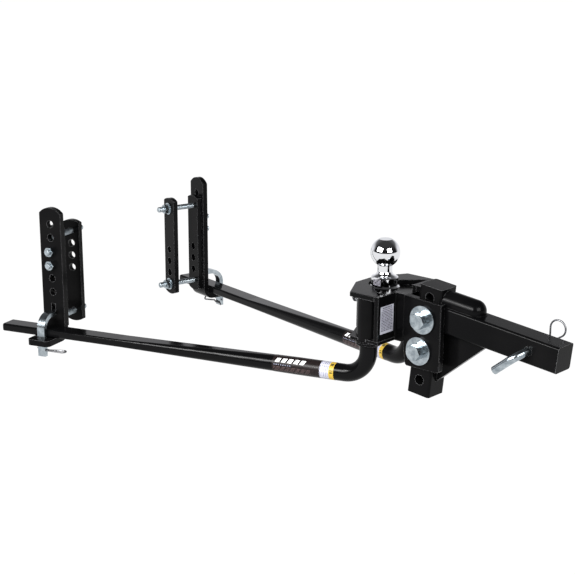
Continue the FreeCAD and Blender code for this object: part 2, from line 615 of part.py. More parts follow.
def strip_plate(y0, y1, spare_from, spare_step):
    """Flat strip with arched ends: two stud holes and three spare holes."""
    x = -BRACKET_AT
    half = LINK_W / 2
    low = LINK_LOW_Z + LINK_ARCH
    top = LINK_TOP_Z - LINK_ARCH
    edges = [
        Part.LineSegment(V(x - half, y0, low), V(x - half, y0, top)),
        Part.Arc(V(x - half, y0, top), V(x, y0, LINK_TOP_Z), V(x + half, y0, top)),
        Part.LineSegment(V(x + half, y0, top), V(x + half, y0, low)),
        Part.Arc(V(x + half, y0, low), V(x, y0, LINK_LOW_Z), V(x - half, y0, low)),
    ]
    plate = eased(Part.Face(Part.Wire([edge.toShape() for edge in edges])).extrude(V(0, y1 - y0, 0)), 1)
    for step in range(1, 4):
        plate = plate.cut(cross_hole(spare_from + step * spare_step, y0 - 1, y1 + 1, SPARE_HOLE_R))
    return plate


def stud_heights():
    return (STUD_TOP_Z, STUD_TOP_Z - STUD_SPACING)


def link_stud_heights():
    return [HANGER_HOLE_Z - step * HANGER_PITCH for step in LINK_STUD_HOLES]


def link_plate():
    """Inner strip: the frame studs are screwed through it and the link studs blind into it."""
    y1 = PLATE_FACE - PLATE_T
    y0 = y1 - LINK_T
    plate = strip_plate(y0, y1, STUD_TOP_Z - STUD_SPACING, SPARE_PITCH)
    for z in stud_heights():
        plate = plate.cut(cross_hole(z, y0 - 1, y1 + 1, STUD_R))
    for z in link_stud_heights():
        plate = plate.cut(cross_hole(z, y0 + LINK_BLIND, y1 + 1, STUD_R))
    return plate


def clamp_plate(spare_from, spare_step):
    """Outer strip that closes on the trailer's frame rail."""
    plate = strip_plate(CLAMP_IN - LINK_T, CLAMP_IN, spare_from, spare_step)
    for z in stud_heights():
        plate = plate.cut(cross_hole(z, CLAMP_IN - LINK_T - 1, CLAMP_IN + 1, STUD_R + 0.8))
    return plate


def frame_studs():
    x = -BRACKET_AT
    studs = []
    for z in stud_heights():
        stud = rod((x, STUD_END, z), (x, PLATE_FACE - PLATE_T, z), STUD_R)
        studs.append(stud.makeChamfer(1.2, [e for e in stud.Edges if e.BoundBox.YMax < STUD_END + 1]))
    return studs


def clamp_washers():
    y = CLAMP_IN - LINK_T
    return [washer((-BRACKET_AT, y, z), (0, -1, 0), CLAMP_WASHER_R, STUD_R + 0.5, CLAMP_WASHER_T)
            for z in stud_heights()]


def clamp_nuts():
    y = CLAMP_IN - LINK_T - CLAMP_WASHER_T
    return [hexagon((-BRACKET_AT, y, z), (0, -1, 0), NUT_AF, NUT_H, STUD_R + 0.1) for z in stud_heights()]


def link_studs():
    """Studs from the link plate out through the hanger plate."""
    x = -BRACKET_AT
    low = PLATE_FACE - PLATE_T - LINK_T + LINK_BLIND
    studs = []
    for z in link_stud_heights():
        stud = rod((x, low, z), (x, PLATE_FACE + 17.0, z), STUD_R)
        studs.append(stud.makeChamfer(1.2, [e for e in stud.Edges if e.BoundBox.YMin > PLATE_FACE + 16]))
    return studs


def link_stud_nuts():
    return [hexagon((-BRACKET_AT, PLATE_FACE, z), (0, 1, 0), NUT_AF, NUT_H, STUD_R)
            for z in link_stud_heights()]


def strap_pin():
    """Flat strap over the bar: a leg down through the foot and an arch to the hanger plate."""
    x = -BRACKET_AT
    path = bent_path([(x, STRAP_AT, STRAP_LOW_Z), (x, STRAP_AT, STRAP_TOP_Z),
                      (x, PLATE_FACE - 9.0, STRAP_TOP_Z)], 27.0)
    half_w = STRAP_W / 2
    half_t = STRAP_T / 2
    corners = [V(x - half_w, STRAP_AT - half_t, STRAP_LOW_Z), V(x + half_w, STRAP_AT - half_t, STRAP_LOW_Z),
               V(x + half_w, STRAP_AT + half_t, STRAP_LOW_Z), V(x - half_w, STRAP_AT + half_t, STRAP_LOW_Z)]
    strap = path.makePipeShell([Part.makePolygon(corners + corners[:1])], True, False)
    shoulder = PLATE_FACE + 7.0
    for x0, x1 in ((x - 20, x - TONGUE_W / 2), (x + TONGUE_W / 2, x + 20)):
        strap = strap.cut(box(x0, x1, PLATE_FACE - 15, shoulder, STRAP_TOP_Z - 9, STRAP_TOP_Z + 9))
    return strap.cut(rod((x - 20, STRAP_AT, CLIP_Z), (x + 20, STRAP_AT, CLIP_Z), 2.2))


def strap_clip():
    """Hairpin clip through the strap pin below the foot: loop towards the head, arm inboard."""
    clip = r_clip(1.7, STRAP_W / 2, STRAP_T / 2, 46.0, 7.0, 11.0)
    clip = clip.mirror(V(0, 0, 0), V(0, 1, 0))
    clip.translate(V(-BRACKET_AT, STRAP_AT, CLIP_Z))
    return clip


def strap_clip_turned():
    """The same clip put in from the other side: loop towards the bar's tail, hanging down inboard."""
    room = STRAP_T / 2 / math.cos(math.radians(CLIP_HANG)) + 1.4
    clip = r_clip(1.7, STRAP_W / 2, room, 46.0, 7.0, 11.0)
    clip.rotate(V(0, 0, 0), V(0, 0, 1), 180)
    clip.rotate(V(0, 0, 0), V(1, 0, 0), CLIP_HANG)
    clip.translate(V(-BRACKET_AT, STRAP_AT, CLIP_Z))
    return clip


# ---- write every node --------------------------------------------------------------------------
def make_shank():
    save("shank_bar", shank_frame(shank_bar()))
    save("shank_column", shank_frame(column()))
    save("shank_gusset", shank_frame(gusset()))
    save("shank_top_rib", shank_frame(top_rib()))
    names = ("head_bolts", "head_bolt_washers", "head_bolt_lock_washers", "head_bolt_nuts")
    for name, pieces in zip(names, head_fasteners()):
        save(name, *[shank_frame(piece) for piece in pieces])
    save("hitch_pin", shank_frame(hitch_pin()))
    save("hitch_pin_clip", shank_frame(hitch_pin_clip()))


def make_head():
    save("yoke_plate", yoke_plate())
    save("ball_platform", ball_platform())
    save("head_floor", head_floor())
    save("rear_wall", rear_wall())
    save_pair("head_wall", head_wall())
    save_pair("cheek", cheek())
    save_pair("socket_tube", socket_tube())
    save_pair("bar_retainer", bar_retainer())
    save("hitch_ball", hitch_ball())
    lock_washer, nut = ball_nut_and_washer()
    save("ball_lock_washer", lock_washer)
    save("ball_nut", nut)
    save("rating_label", rating_label())


def make_brackets():
    save_pair("spring_bar", bar_frame(spring_bar()))
    groups = (("hanger_plate", [hanger_plate()]), ("link_plate", [link_plate()]),
              ("frame_studs", frame_studs()), ("link_studs", link_studs()),
              ("link_stud_nuts", link_stud_nuts()), ("clamp_washers", clamp_washers()),
              ("clamp_nuts", clamp_nuts()), ("strap_pin", [strap_pin()]))
    for name, pieces in groups:
        save_pair(name, *[bracket_frame(piece) for piece in pieces])
    save("clamp_plate_left", bracket_frame(clamp_plate(STUD_TOP_Z - STUD_SPACING, SPARE_PITCH)))
    save("clamp_plate_right", mirrored(bracket_frame(clamp_plate(STUD_TOP_Z, -SPARE_PITCH))))
    save("strap_clip_left", bracket_frame(strap_clip_turned()))
    save("strap_clip_right", mirrored(bracket_frame(strap_clip())))


os.makedirs("parts", exist_ok=True)
make_shank()
make_head()
make_brackets()
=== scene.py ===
"""Looks of the weight distribution hitch: finishes, threads, welds, decals, camera and studio."""
import json
import math

import bmesh
import bpy
from mathutils import Matrix, Vector


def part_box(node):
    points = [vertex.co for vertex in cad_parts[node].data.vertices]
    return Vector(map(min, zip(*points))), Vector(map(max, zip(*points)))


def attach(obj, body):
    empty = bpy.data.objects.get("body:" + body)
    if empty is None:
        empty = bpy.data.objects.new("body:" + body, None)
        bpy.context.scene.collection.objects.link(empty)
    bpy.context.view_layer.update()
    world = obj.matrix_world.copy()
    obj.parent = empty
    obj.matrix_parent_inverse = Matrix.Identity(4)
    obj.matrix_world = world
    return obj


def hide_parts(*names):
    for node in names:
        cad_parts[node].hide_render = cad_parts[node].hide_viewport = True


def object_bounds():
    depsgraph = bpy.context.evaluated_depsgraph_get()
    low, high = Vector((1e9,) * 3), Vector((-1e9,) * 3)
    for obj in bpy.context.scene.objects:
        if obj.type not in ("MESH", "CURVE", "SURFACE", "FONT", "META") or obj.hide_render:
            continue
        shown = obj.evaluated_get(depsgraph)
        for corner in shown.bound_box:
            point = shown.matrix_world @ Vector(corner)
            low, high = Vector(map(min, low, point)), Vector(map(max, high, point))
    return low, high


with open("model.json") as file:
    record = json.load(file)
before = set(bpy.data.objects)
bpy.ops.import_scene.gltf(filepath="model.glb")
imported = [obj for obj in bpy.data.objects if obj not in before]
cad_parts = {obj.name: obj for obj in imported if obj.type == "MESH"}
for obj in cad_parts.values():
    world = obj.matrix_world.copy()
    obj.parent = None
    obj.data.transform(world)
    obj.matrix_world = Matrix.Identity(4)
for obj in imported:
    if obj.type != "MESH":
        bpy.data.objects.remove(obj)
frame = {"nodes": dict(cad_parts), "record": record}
cad_low, cad_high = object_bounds()
NODES = frame["nodes"]
SIDES = {"left": 1, "right": -1}


# ---- material helpers --------------------------------------------------------------------------
class Finish:
    """A Principled material with short calls for its texture nodes."""

    def __init__(self, name, colour, roughness, metallic=0.0, specular=0.5):
        self.material = bpy.data.materials.new(name)
        self.material.use_nodes = True
        self.nodes = self.material.node_tree.nodes
        self.links = self.material.node_tree.links
        self.shader = self.nodes["Principled BSDF"]
        self.shader.inputs["Base Color"].default_value = (*colour, 1.0)
        self.shader.inputs["Roughness"].default_value = roughness
        self.shader.inputs["Metallic"].default_value = metallic
        self.shader.inputs["Specular IOR Level"].default_value = specular
        self.coordinates = self.nodes.new("ShaderNodeTexCoord").outputs["Object"]

    def noise(self, scale, detail):
        node = self.nodes.new("ShaderNodeTexNoise")
        node.inputs["Scale"].default_value = scale
        node.inputs["Detail"].default_value = detail
        self.links.new(self.coordinates, node.inputs["Vector"])
        return node.outputs["Fac"]

    def ramp(self, value, stops):
        """Colours picked from stops by a value between 0 and 1."""
        node = self.nodes.new("ShaderNodeValToRGB")
        elements = node.color_ramp.elements
        while len(elements) < len(stops):
            elements.new(0.5)
        for element, (place, colour) in zip(elements, stops):
            element.position = place
            element.color = (*colour, 1.0)
        self.links.new(value, node.inputs["Fac"])
        return node.outputs["Color"]

    def spread(self, value, low, high):
        """A value from 0 to 1 stretched to run from low to high."""
        node = self.nodes.new("ShaderNodeMapRange")
        node.inputs["To Min"].default_value = low
        node.inputs["To Max"].default_value = high
        self.links.new(value, node.inputs["Value"])
        return node.outputs["Result"]

    def mixed(self, share, first, second):
        """Two colours mixed; each is a tuple or a socket."""
        node = self.nodes.new("ShaderNodeMix")
        node.data_type = "RGBA"
        self.links.new(share, node.inputs["Factor"])
        for socket, colour in ((node.inputs[6], first), (node.inputs[7], second)):
            if isinstance(colour, tuple):
                socket.default_value = (*colour, 1.0)
            else:
                self.links.new(colour, socket)
        return node.outputs[2]

    def bump(self, height, distance, strength):
        node = self.nodes.new("ShaderNodeBump")
        node.inputs["Distance"].default_value = distance
        node.inputs["Strength"].default_value = strength
        self.links.new(height, node.inputs["Height"])
        self.feed("Normal", node.outputs["Normal"])

    def edges(self, radius, low, high):
        """1 on sharp edges and 0 on flats, from how far a rounded normal leans off the true one."""
        rounded = self.nodes.new("ShaderNodeBevel")
        rounded.samples = 6
        rounded.inputs["Radius"].default_value = radius
        lean = self.nodes.new("ShaderNodeVectorMath")
        lean.operation = "DOT_PRODUCT"
        self.links.new(rounded.outputs["Normal"], lean.inputs[0])
        self.links.new(self.nodes.new("ShaderNodeNewGeometry").outputs["Normal"], lean.inputs[1])
        mask = self.nodes.new("ShaderNodeMapRange")
        mask.interpolation_type = "SMOOTHSTEP"
        mask.inputs["From Min"].default_value = high
        mask.inputs["From Max"].default_value = low
        self.links.new(lean.outputs["Value"], mask.inputs["Value"])
        return mask.outputs["Result"]

    def feed(self, socket, value):
        self.links.new(value, self.shader.inputs[socket])


def powder_coat():
    """Semi-gloss black powder coat: fine orange peel, dusty patches, and a painted highlight that lightens
    its sharp edges.
    """
    finish = Finish("black_powder_coat", (0.0024, 0.0024, 0.0026), 0.18, specular=0.055)
    dust = [(0.4, (0.0018, 0.0018, 0.0020)), (0.72, (0.0036, 0.0035, 0.0036))]
    coat = finish.ramp(finish.noise(11.0, 5.0), dust)
    # painted highlight: sharp edges are mixed towards a light grey, standing in for the lines of light on
    # rounded edges
    edge_highlight = finish.edges(0.0011, 0.80, 0.985)
    finish.feed("Base Color", finish.mixed(edge_highlight, coat, (0.13, 0.13, 0.133)))
    finish.feed("Roughness", finish.spread(finish.noise(38.0, 3.0), 0.12, 0.24))
    finish.bump(finish.noise(650.0, 2.0), 0.00010, 0.2)
    return finish.material


def bar_paint():
    """Glossy black paint over forged steel, with the faint waves of forging under it and a painted
    highlight on its sharp edges.
    """
    finish = Finish("black_bar_paint", (0.0022, 0.0022, 0.0024), 0.14, specular=0.09)
    # painted highlight: sharp edges are mixed towards a light grey, standing in for the lines of light on
    # rounded edges
    edge_highlight = finish.edges(0.0012, 0.75, 0.97)
    finish.feed("Base Color", finish.mixed(edge_highlight, (0.0022, 0.0022, 0.0024), (0.10, 0.10, 0.103)))
    finish.feed("Roughness", finish.spread(finish.noise(24.0, 4.0), 0.10, 0.16))
    finish.bump(finish.noise(28.0, 2.0), 0.0006, 0.1)
    return finish.material


def zinc(name, smooth, rough, bump):
    """Bright zinc plate: clouded patches, fine spangle and a slight blue cast."""
    finish = Finish(name, (0.36, 0.41, 0.44), (smooth + rough) / 2, metallic=1.0)
    clouds = [(0.3, (0.24, 0.28, 0.31)), (0.7, (0.47, 0.52, 0.55))]
    finish.feed("Base Color", finish.ramp(finish.noise(90.0, 5.0), clouds))
    finish.feed("Roughness", finish.spread(finish.noise(160.0, 3.0), smooth, rough))
    finish.bump(finish.noise(500.0, 2.0), 0.00008, bump)
    return finish.material


def spring_wire():
    """Dull zinc over spring wire, with drawing marks."""
    finish = Finish("spring_wire", (0.17, 0.175, 0.185), 0.34, metallic=1.0)
    drawn = [(0.3, (0.12, 0.12, 0.125)), (0.7, (0.24, 0.245, 0.26))]
    finish.feed("Base Color", finish.ramp(finish.noise(120.0, 4.0), drawn))
    finish.feed("Roughness", finish.spread(finish.noise(200.0, 2.0), 0.28, 0.42))
    return finish.material


def chrome():
    """Polished chrome plate with the faintest haze."""
    finish = Finish("chrome_plate", (0.74, 0.75, 0.77), 0.05, metallic=1.0)
    finish.feed("Roughness", finish.spread(finish.noise(60.0, 4.0), 0.015, 0.04))
    finish.bump(finish.noise(45.0, 2.0), 0.0001, 0.03)
    return finish.material


def print_film(name, low, high, roughness=0.4, specular=0.3):
    """Printed film or ink whose colour drifts a little between two tones."""
    finish = Finish(name, low, roughness, specular=specular)
    finish.feed("Base Color", finish.ramp(finish.noise(240.0, 2.0), [(0.3, low), (0.7, high)]))
    finish.feed("Roughness", finish.spread(finish.noise(90.0, 2.0), roughness * 0.85, roughness * 1.15))
    finish.bump(finish.noise(1100.0, 1.0), 0.00005, 0.2)
    return finish.material


SLOT_MATERIALS = {
    "black_powder_coat": powder_coat(),
    "black_bar_paint": bar_paint(),
    "bright_zinc": zinc("bright_zinc", 0.15, 0.28, 0.12),
    "spring_wire": spring_wire(),
    "chrome_plate": chrome(),
    "label_film": print_film("label_film", (0.30, 0.30, 0.35), (0.38, 0.38, 0.43)),
}
THREAD_ZINC = zinc("bright_zinc_threads", 0.34, 0.46, 0.1)
PRINT = {
    "dark": print_film("decal_dark", (0.008, 0.006, 0.006), (0.013, 0.009, 0.009), 0.3, 0.12),
    "white": print_film("decal_white", (0.70, 0.70, 0.70), (0.78, 0.78, 0.78)),
    "rose": print_film("decal_rose", (0.055, 0.036, 0.036), (0.10, 0.062, 0.062)),
    "yellow": print_film("decal_yellow", (0.36, 0.235, 0.022), (0.46, 0.31, 0.035)),
    "olive": print_film("decal_olive", (0.06, 0.045, 0.012), (0.09, 0.07, 0.02)),
    "pale": print_film("decal_pale", (0.34, 0.34, 0.40), (0.42, 0.42, 0.48)),
    "grey": print_film("decal_grey", (0.13, 0.14, 0.19), (0.19, 0.20, 0.26)),
    "ink": print_film("label_ink", (0.018, 0.018, 0.034), (0.035, 0.035, 0.055)),
    "etch": print_film("etched_marks", (0.30, 0.29, 0.34), (0.42, 0.41, 0.46)),
}


def dress_cad_nodes():
    """Give every CAD node the finish of its slot in the record."""
    for part in frame["record"]["subparts"]:
        mesh = NODES[part["node"]].data
        mesh.materials.clear()
        mesh.materials.append(SLOT_MATERIALS[part["material_slot"]])


dress_cad_nodes()


# ---- places of the main parts, repeated from the CAD, in metres ---------------------------------
SPLAY = math.radians(14.25)
DROOP = math.radians(1.3)
SHANK_PITCH = math.radians(6.0)
PIVOT = Vector((0.1224, 0.0, -0.1037))
SOCKET = Vector((0.017, 0.0676, 0.0))
BEND_R = 0.050
BAR_Z = -0.2332
BAR_R = 0.0174625
ROUND_END = 0.150
FLAT_START = 0.560
FLAT_W = 0.040
FLAT_H = 0.0165
FLAT_CORNER = 0.004
BRACKET_AT = 0.743
FOOT_TOP_Z = -0.2589
LINK_BACK = -0.0457       # inboard face of the link plate
LINK_T = 0.012
LINK_BLIND = 0.002        # metal left behind the link studs
STUD_R = 0.00635
STUD_END = -0.138
STUD_HEIGHTS = (-0.0501, -0.2279)
LINK_STUD_HEIGHTS = (-0.0795, -0.109)
LINK_STUD_TIP = -0.004
STUD_PITCH = 0.00195
HEAD_BOLT_R = 0.009525
HEAD_BOLT_PITCH = 0.00254
HEAD_BOLT_DROP = 0.0635
HEAD_NUT_Y = 0.06445      # outer face of the head nuts
HEAD_BOLT_TIP_Y = 0.07045
HEAD_CREST = 0.0004       # the thread tips stand this far outside the CAD bolt
HEAD_ROOT = 0.0014        # and cut no deeper than this into it


def turned_about(point, angle, axis):
    return Matrix.Translation(point) @ Matrix.Rotation(angle, 4, axis) @ Matrix.Translation(-point)


SHANK_FRAME = turned_about(PIVOT, SHANK_PITCH, "Y")


def bar_frame(side):
    """From the frame straight behind the socket (x forwards, y outboard) to the row frame."""
    placed = Matrix.Translation(SOCKET) @ Matrix.Rotation(-SPLAY, 4, "Z")
    return Matrix.Diagonal((1.0, SIDES[side], 1.0, 1.0)) @ placed


def bracket_frame(side):
    """From the frame straight behind the socket, tipped square to the bar, to the row frame."""
    foot = Vector((-BRACKET_AT, 0.0, FOOT_TOP_Z))
    return bar_frame(side) @ turned_about(foot, -DROOP, "Y")


def arm_frame(side):
    """From the level arm frame (x = 0 on the socket axis) to the row frame."""
    turn = math.pi / 2 - DROOP
    start = Vector((BEND_R * math.cos(turn) - BEND_R, 0.0, BAR_Z + BEND_R - BEND_R * math.sin(turn)))
    drooped = Matrix.Rotation(-DROOP, 4, "Y") @ Matrix.Translation(Vector((BEND_R, 0.0, 0.0)))
    return bar_frame(side) @ Matrix.Translation(start) @ drooped


# ---- mesh helpers ------------------------------------------------------------------------------
class Shape:
    """Vertices and faces gathered in a local frame; each face has a material number."""

    def __init__(self):
        self.points = []
        self.faces = []
        self.materials = []

    def add(self, points, faces):
        first = len(self.points)
        self.points += points
        self.faces += [[first + k for k in face] for face in faces]
        self.materials += [0] * len(faces)

    def grid(self, rings):
        """Closed rings of equally many points, joined by quads and capped at both ends."""
        around = len(rings[0])
        faces = []
        for i in range(len(rings) - 1):
            for j in range(around):
                k = (j + 1) % around
                near, far = i * around, (i + 1) * around
                faces.append([near + j, near + k, far + k, far + j])
        faces.append(list(range(around)))
        faces.append([(len(rings) - 1) * around + j for j in range(around)])
        self.add([point for ring in rings for point in ring], faces)

    def piece(self, name, matrix, body, materials, smooth=True):
        """Make the mesh object in the row frame; quads are smooth and other faces flat."""
        mesh = bpy.data.meshes.new(name)
        mesh.from_pydata([matrix @ Vector(point) for point in self.points], [], self.faces)
        work = bmesh.new()
        work.from_mesh(mesh)
        bmesh.ops.recalc_face_normals(work, faces=work.faces)
        work.to_mesh(mesh)
        work.free()
        for material in materials:
            mesh.materials.append(material)
        for polygon, number in zip(mesh.polygons, self.materials):
            polygon.material_index = number
            polygon.use_smooth = smooth and len(polygon.vertices) == 4
        made = bpy.data.objects.new(name, mesh)
        bpy.context.scene.collection.objects.link(made)
        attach(made, body)
        return made


THREAD_TAPER = 0.0012     # the thread's ends are turned down by this much


def threaded(shape, start, end, radius, pitch, core=0.0):
    """Rolled thread from start to end along Y: a helix of crests with tapered ends."""
    x, y0, z = start
    length = abs(end - y0)
    sign = 1.0 if end > y0 else -1.0
    around = 24
    count = int(length / (pitch / 4))
    depth = 0.36 * pitch
    rings = []
    for i in range(count + 1):
        along = length * i / count
        ring = []
        for j in range(around):
            phase = (along / pitch + j / around) % 1.0
            r = radius - depth * abs(2.0 * phase - 1.0)
            r = min(r, radius - THREAD_TAPER + along, radius - THREAD_TAPER + length - along)
            r = max(r, core)
            angle = 2 * math.pi * j / around
            ring.append((x + r * math.cos(angle), y0 + sign * along, z + r * math.sin(angle)))
        rings.append(ring)
    shape.grid(rings)


RIPPLE = 0.0024           # length of one ripple of a weld bead


def bead(shape, points, radius, closed=False):
    """Weld bead along a path, in overlapping ripples with tapered ends."""
    path = [Vector(point) for point in points]
    if closed:
        path.append(path[0])
    stations = []
    run = 0.0
    for a, b in zip(path, path[1:]):
        length = (b - a).length
        count = max(1, int(length / (RIPPLE / 4)))
        for k in range(count):
            stations.append((a.lerp(b, k / count), (b - a).normalized(), run + length * k / count))
        run += length
    stations.append((path[-1], stations[-1][1], run))
    around = 10
    rings = []
    for place, ahead, along in stations:
        guide = Vector((0.0, 0.0, 1.0)) if abs(ahead.z) < 0.9 else Vector((1.0, 0.0, 0.0))
        across = ahead.cross(guide).normalized()
        upward = across.cross(ahead)
        ripple = 0.84 + 0.16 * abs(math.sin(math.pi * along / RIPPLE))
        end = 1.0 if closed else min(1.0, 0.35 + min(along, run - along) / 0.002)
        r = radius * ripple * end
        rings.append([place + across * (r * math.cos(2 * math.pi * j / around))
                      + upward * (r * math.sin(2 * math.pi * j / around)) for j in range(around)])
    shape.grid(rings)


def arc(centre, radius, first, last, steps=24):
    """Points on a level arc; angles in degrees."""
    x, y, z = centre
    turns = [math.radians(first + (last - first) * k / steps) for k in range(steps + 1)]
    return [(x + radius * math.cos(turn), y + radius * math.sin(turn), z) for turn in turns]


def mark(shape, corner, across, up, size):
    """Flat rectangle from a corner, its size measured along two directions."""
    origin = Vector(corner)
    wide = Vector(across) * size[0]
    tall = Vector(up) * size[1]
    shape.add([origin, origin + wide, origin + wide + tall, origin + tall], [[0, 1, 2, 3]])


# ---- threads -----------------------------------------------------------------------------------
def make_threads():
    studs = (("stud_threads_", "frame_studs_", STUD_HEIGHTS, LINK_BACK + LINK_T, STUD_END),
             ("link_stud_threads_", "link_studs_", LINK_STUD_HEIGHTS, LINK_BACK + LINK_BLIND,
              LINK_STUD_TIP))
    for side in SIDES:
        for name, node, heights, start, end in studs:
            rods = Shape()
            for z in heights:
                threaded(rods, (-BRACKET_AT, start, z), end, STUD_R, STUD_PITCH)
            made = rods.piece(name + side, bracket_frame(side), "bracket_" + side,
                              [THREAD_ZINC])
            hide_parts(node + side)
    tips = Shape()
    for z in (PIVOT.z, PIVOT.z - HEAD_BOLT_DROP):
        threaded(tips, (PIVOT.x, HEAD_NUT_Y, z), HEAD_BOLT_TIP_Y, HEAD_BOLT_R + HEAD_CREST,
                 HEAD_BOLT_PITCH, HEAD_BOLT_R - HEAD_ROOT)
    tips.piece("head_bolt_thread_tips", SHANK_FRAME, "shank", [THREAD_ZINC])


# ---- welds -------------------------------------------------------------------------------------
HEAD_TOP = -0.0625        # the plates that the beads join, repeated from the CAD
FLOOR_Z = -0.158
FLOOR_TOP_Z = -0.1515
YOKE_UNDER_Z = -0.072
PLATFORM_UNDER_Z = -0.088
FRONT_X = 0.056
CHEEK_X = 0.077
WEB_Y = 0.0372
PLATFORM_X = -0.040
SOCKET_OD_R = 0.02413
COLUMN_X = 0.1478
SHANK_TOP_Z = PIVOT.z + 0.032
SHANK_UNDER_Z = SHANK_TOP_Z - 0.0508
GUSSET_Y = 0.00635
RIB_R = 0.0215
RIB_NOSE_X = 0.2103
WEB_BEAD = 0.0028         # radii of the beads
PLATE_BEAD = 0.0026
COLUMN_BEAD = 0.0024
THIN_BEAD = 0.0022
RIB_BEAD = 0.0019


def make_welds():
    coat = [SLOT_MATERIALS["black_powder_coat"]]
    head = Shape()
    for sign in (-1, 1):
        x, y = FRONT_X + 0.0008, sign * (WEB_Y + 0.0008)
        bead(head, [(x, y, FLOOR_TOP_Z + 0.001), (x, y, HEAD_TOP - 0.003)], WEB_BEAD)
        x, y = CHEEK_X - 0.0004, sign * (WEB_Y + 0.0004)
        bead(head, [(x, y, FLOOR_Z + 0.003), (x, y, HEAD_TOP - 0.003)], PLATE_BEAD)
        centre = (SOCKET.x, sign * SOCKET.y, FLOOR_Z - 0.0006)
        bead(head, arc(centre, SOCKET_OD_R + 0.0006, 0, 345), THIN_BEAD, True)
        x, y = PLATFORM_X + 0.002, sign * 0.0342
        bead(head, [(x, y, PLATFORM_UNDER_Z), (x, y, FLOOR_TOP_Z)], THIN_BEAD)
        y = sign * 0.0433
        bead(head, [(0.030, y, YOKE_UNDER_Z), (PLATFORM_X, y, YOKE_UNDER_Z)], PLATE_BEAD)
    for half, z, radius in ((0.0405, YOKE_UNDER_Z, PLATE_BEAD), (0.031, PLATFORM_UNDER_Z, THIN_BEAD),
                            (0.031, FLOOR_TOP_Z, THIN_BEAD)):
        bead(head, [(PLATFORM_X, -half, z), (PLATFORM_X, half, z)], radius)
    head.piece("head_weld_beads", Matrix.Identity(4), "head", coat)
    shank = Shape()
    x = COLUMN_X + 0.001
    for sign in (-1, 1):
        y = sign * (GUSSET_Y + 0.001)
        bead(shank, [(x, y, SHANK_UNDER_Z - 0.100), (x, y, SHANK_UNDER_Z - 0.002)], WEB_BEAD)
        z = SHANK_UNDER_Z - 0.001
        bead(shank, [(COLUMN_X + 0.002, y, z), (COLUMN_X + 0.098, y, z)], WEB_BEAD)
        z = SHANK_UNDER_Z - 0.0008
        bead(shank, [(x, sign * 0.009, z), (x, sign * 0.0225, z)], COLUMN_BEAD)
    z = SHANK_TOP_Z + 0.0005
    reach = RIB_R + 0.0004
    rib_seam = [(COLUMN_X + 0.002, -reach, z), *arc((RIB_NOSE_X, 0.0, z), reach, -90, 90)]
    rib_seam.append((COLUMN_X + 0.002, reach, z))
    bead(shank, rib_seam, RIB_BEAD)
    shank.piece("shank_weld_beads", SHANK_FRAME, "shank", coat)


# ---- bar decals --------------------------------------------------------------------------------
YELLOW_FROM = 0.0675      # distances along the arm: a yellow band, a pale one and the dark label
WHITE_FROM = 0.078
LABEL_FROM = 0.0975
LABEL_TO = 0.2010
FILM = 0.00015            # the film stands this far off the paint
RING_PITCH = 0.0039
SLANT = 0.00012           # metres along the bar per degree round it
BLOCK_PITCH = 0.0135
BLOCK_LONG = 0.009
DECAL_KINDS = ("dark", "white", "rose", "yellow", "olive", "pale", "grey")


def bar_outline(s, grow, around):
    """Points round the bar at a distance s along its arm, from the top towards +y."""
    share = max(0.0, (s - ROUND_END) / (FLAT_START - ROUND_END))
    half_w = BAR_R + (FLAT_W / 2 - BAR_R) * share
    half_h = BAR_R + (FLAT_H / 2 - BAR_R) * share
    corner = BAR_R + (FLAT_CORNER - BAR_R) * share
    points = []
    for j in range(around):
        turn = 2 * math.pi * (j + 0.5) / around
        y = math.sin(turn)
        z = math.cos(turn)
        points.append((-s, math.copysign(half_w - corner, y) + (corner + grow) * y,
                       math.copysign(half_h - corner, z) + (corner + grow) * z))
    return points


def decal_kind(s, turn):
    """Which print lies at a place: s along the arm, turn in degrees down from the top."""
    if s < WHITE_FROM:                                        # a block and stripes on the yellow band
        inner = YELLOW_FROM + 0.0015 < s < WHITE_FROM - 0.002
        if inner and 18 < turn < 42:
            return "olive"
        if inner and 62 < turn < 98 and int(turn / 7) % 2 == 0:
            return "olive"
        return "yellow"
    if s < LABEL_FROM:                                        # dashed rings on the pale band
        stripe = (s - WHITE_FROM) / RING_PITCH
        return "grey" if 0.4 < stripe % 1.0 < 0.75 and int(turn / 11) % 4 != 3 else "pale"
    lean = s - SLANT * (turn - 50.0)                          # slanted blocks and dashes on the label
    if 0.131 < lean < 0.1945 and 32 < turn < 62:
        return "white" if (lean - 0.131) % BLOCK_PITCH < BLOCK_LONG else "dark"
    if 0.160 < s < 0.198 and 77 < turn < 83:
        return "grey" if (s * 1000) % 5.0 < 2.6 else "dark"
    if 0.117 < s < 0.198 and 92 < turn < 122 and turn % 10.0 < 4.0:
        return "rose" if (s * 1000 + turn) % 11.0 < 8.6 else "dark"
    return "dark"


def make_bar_decals():
    around = 120
    step = 0.00075
    count = round((LABEL_TO - YELLOW_FROM) / step)
    for side in SIDES:
        sleeve = Shape()
        rings = [bar_outline(YELLOW_FROM + step * i, FILM, around) for i in range(count + 1)]
        sleeve.points = [point for ring in rings for point in ring]
        seen_side = 1 if side == "right" else -1
        for i in range(count):
            for j in range(around):
                k = (j + 1) % around
                near, far = i * around, (i + 1) * around
                sleeve.faces.append([near + j, near + k, far + k, far + j])
                turn = ((j + 1.0) * 360.0 / around * seen_side) % 360.0
                sleeve.materials.append(DECAL_KINDS.index(decal_kind(YELLOW_FROM + step * (i + 0.5), turn)))
        sleeve.piece("bar_decal_" + side, arm_frame(side), "bar_" + side,
                     [PRINT[kind] for kind in DECAL_KINDS])


# ---- printed marks on the rating label and the ball's wrench flat -------------------------------
LINES_FROM = 0.0115       # first line of dashes, below the label's top edge
LINE_PITCH = 0.0031
LINE_TALL = 0.0017
LINE_GAP = 0.0012
FLAT_FACE_Y = -0.02404    # just outside the near wrench flat of the ball


